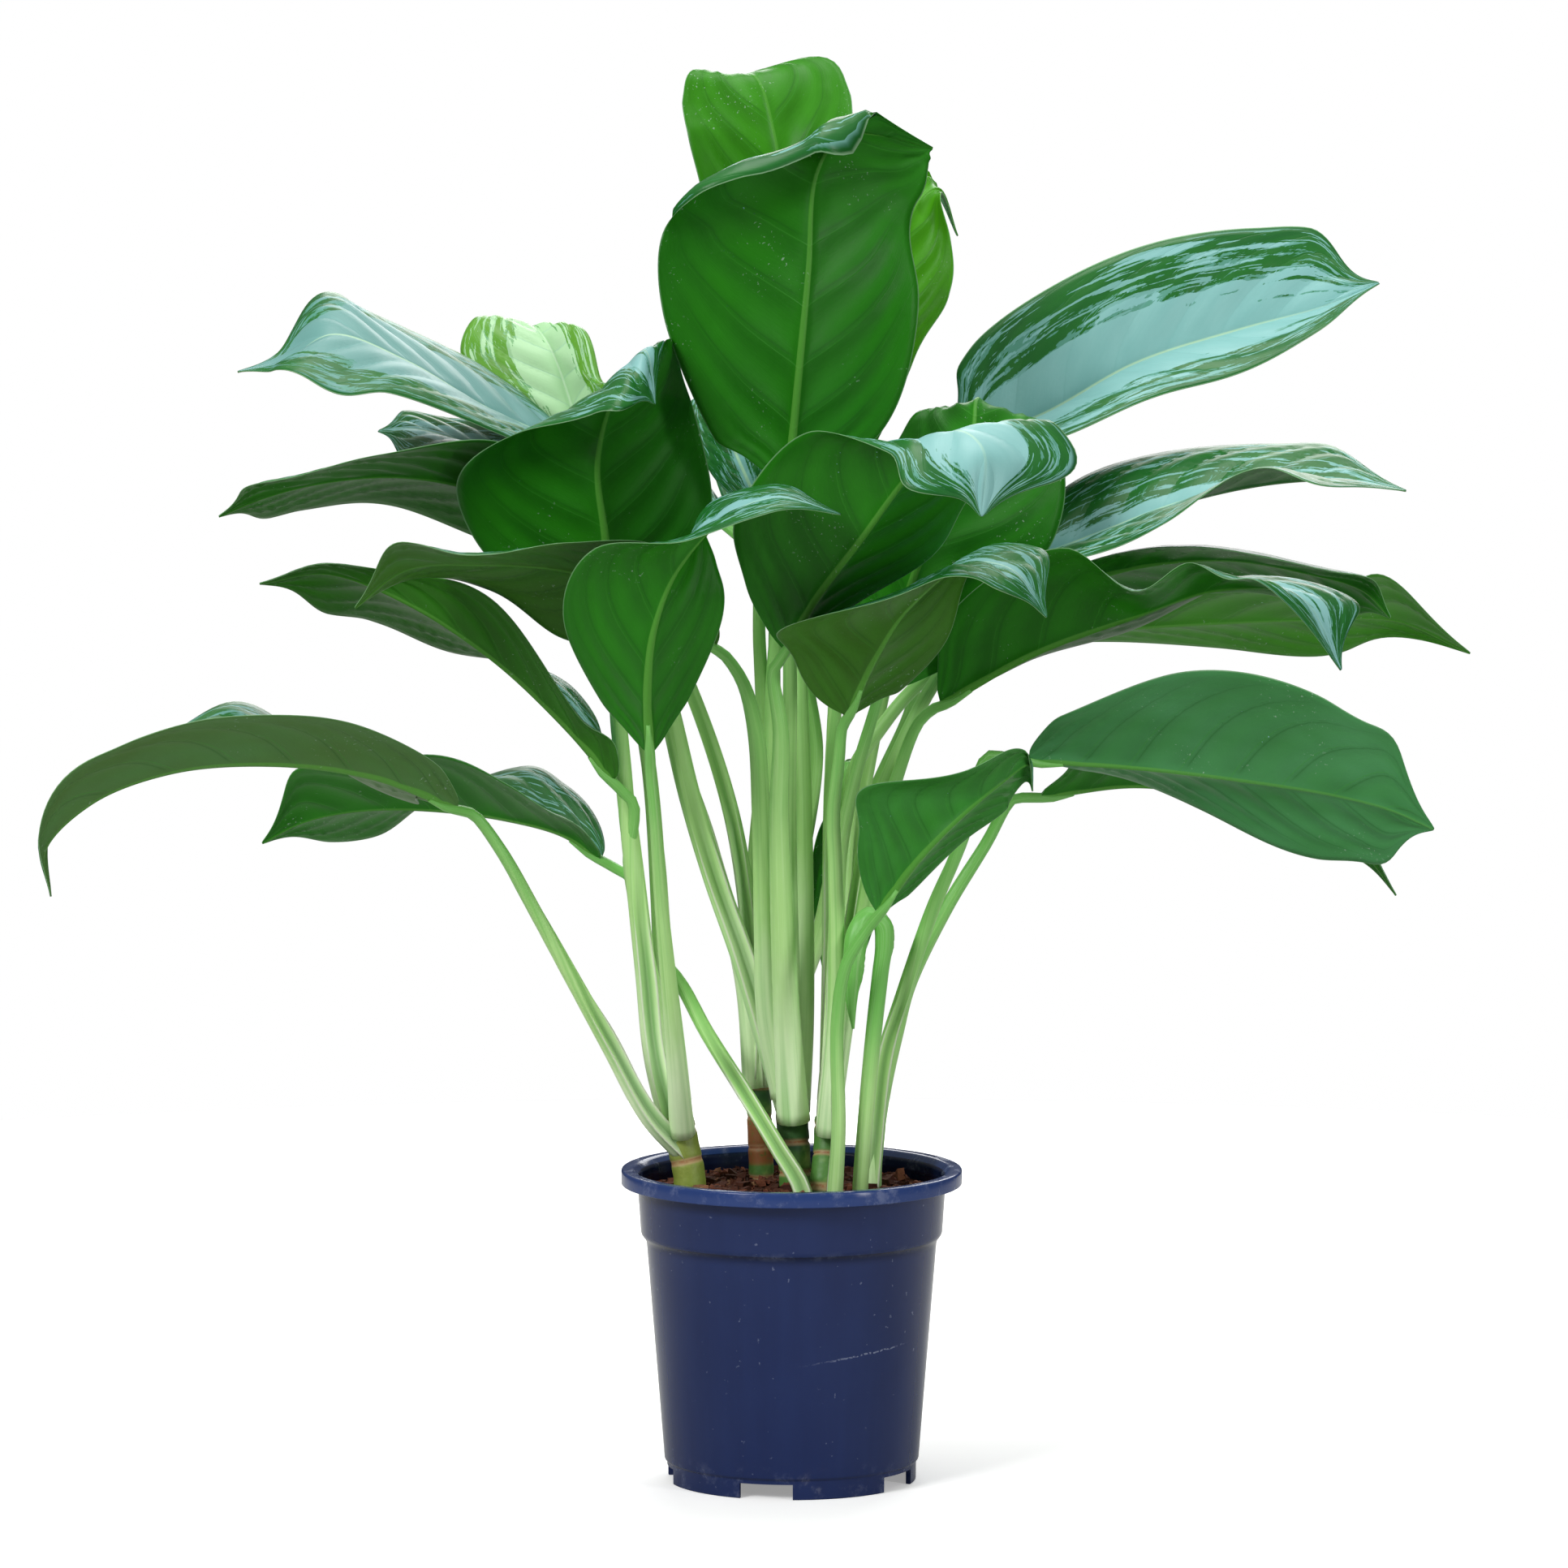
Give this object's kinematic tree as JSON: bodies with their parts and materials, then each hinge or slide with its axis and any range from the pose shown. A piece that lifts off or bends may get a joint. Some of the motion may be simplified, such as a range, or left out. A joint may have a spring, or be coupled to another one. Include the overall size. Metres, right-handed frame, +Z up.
{
  "type": "potted chinese evergreen",
  "caption": "Potted Chinese evergreen with broad silver-and-green leaves on long sheathed stalks, in a round dark blue nursery pot",
  "frame": {"origin": "on the pot's axis, at the level that the pot's foot stands on, under the middle of the whole plant's box", "axes": "+Z up, +X to the right and +Y to the back as seen from the picture's side"},
  "size_m": [0.7946, 0.4798, 0.7856],
  "materials": {
    "pot": "dark blue moulded plastic, satin to gloss, lightly scuffed",
    "soil": "dark red-brown coir and bark, matt, with fibres",
    "stem": "smooth fleshy pale green stalks, whitish at the sheaths, olive canes with rings",
    "leaf": "satin leaf blade, silver and dark green streaks above, plain green with a pale midrib below"
  },
  "bodies": {
    "root": {"pot": "pot", "soil": "soil", "sprout": "stem", "stem_left": "stem", "leaf_left_low_long": "leaf", "leaf_left_broad": "leaf", "leaf_left_small_front": "leaf", "leaf_left_arch": "leaf", "leaf_left_mid": "leaf", "stem_centre": "stem", "leaf_centre_front": "leaf", "leaf_crown_front": "leaf", "leaf_left_strip": "leaf", "leaf_left_silver": "leaf", "leaf_crown_back": "leaf", "stem_back": "stem", "leaf_left_bright": "leaf", "leaf_left_shaded": "leaf", "leaf_inner": "leaf", "leaf_back_left": "leaf", "leaf_back_centre": "leaf", "leaf_back_right": "leaf", "leaf_back_low": "leaf", "stem_right": "stem", "leaf_centre_low": "leaf", "leaf_centre_right": "leaf", "leaf_right_arch": "leaf", "leaf_right_behind": "leaf", "leaf_right_far": "leaf", "leaf_right_second": "leaf", "leaf_right_upper": "leaf", "leaf_crown_right": "leaf", "stem_low_left": "stem", "leaf_left_low": "leaf", "stem_small": "stem", "leaf_small_fold": "leaf", "stem_low_right": "stem", "leaf_right_low_front": "leaf", "leaf_right_low_behind": "leaf"}
  },
  "joints": []
}
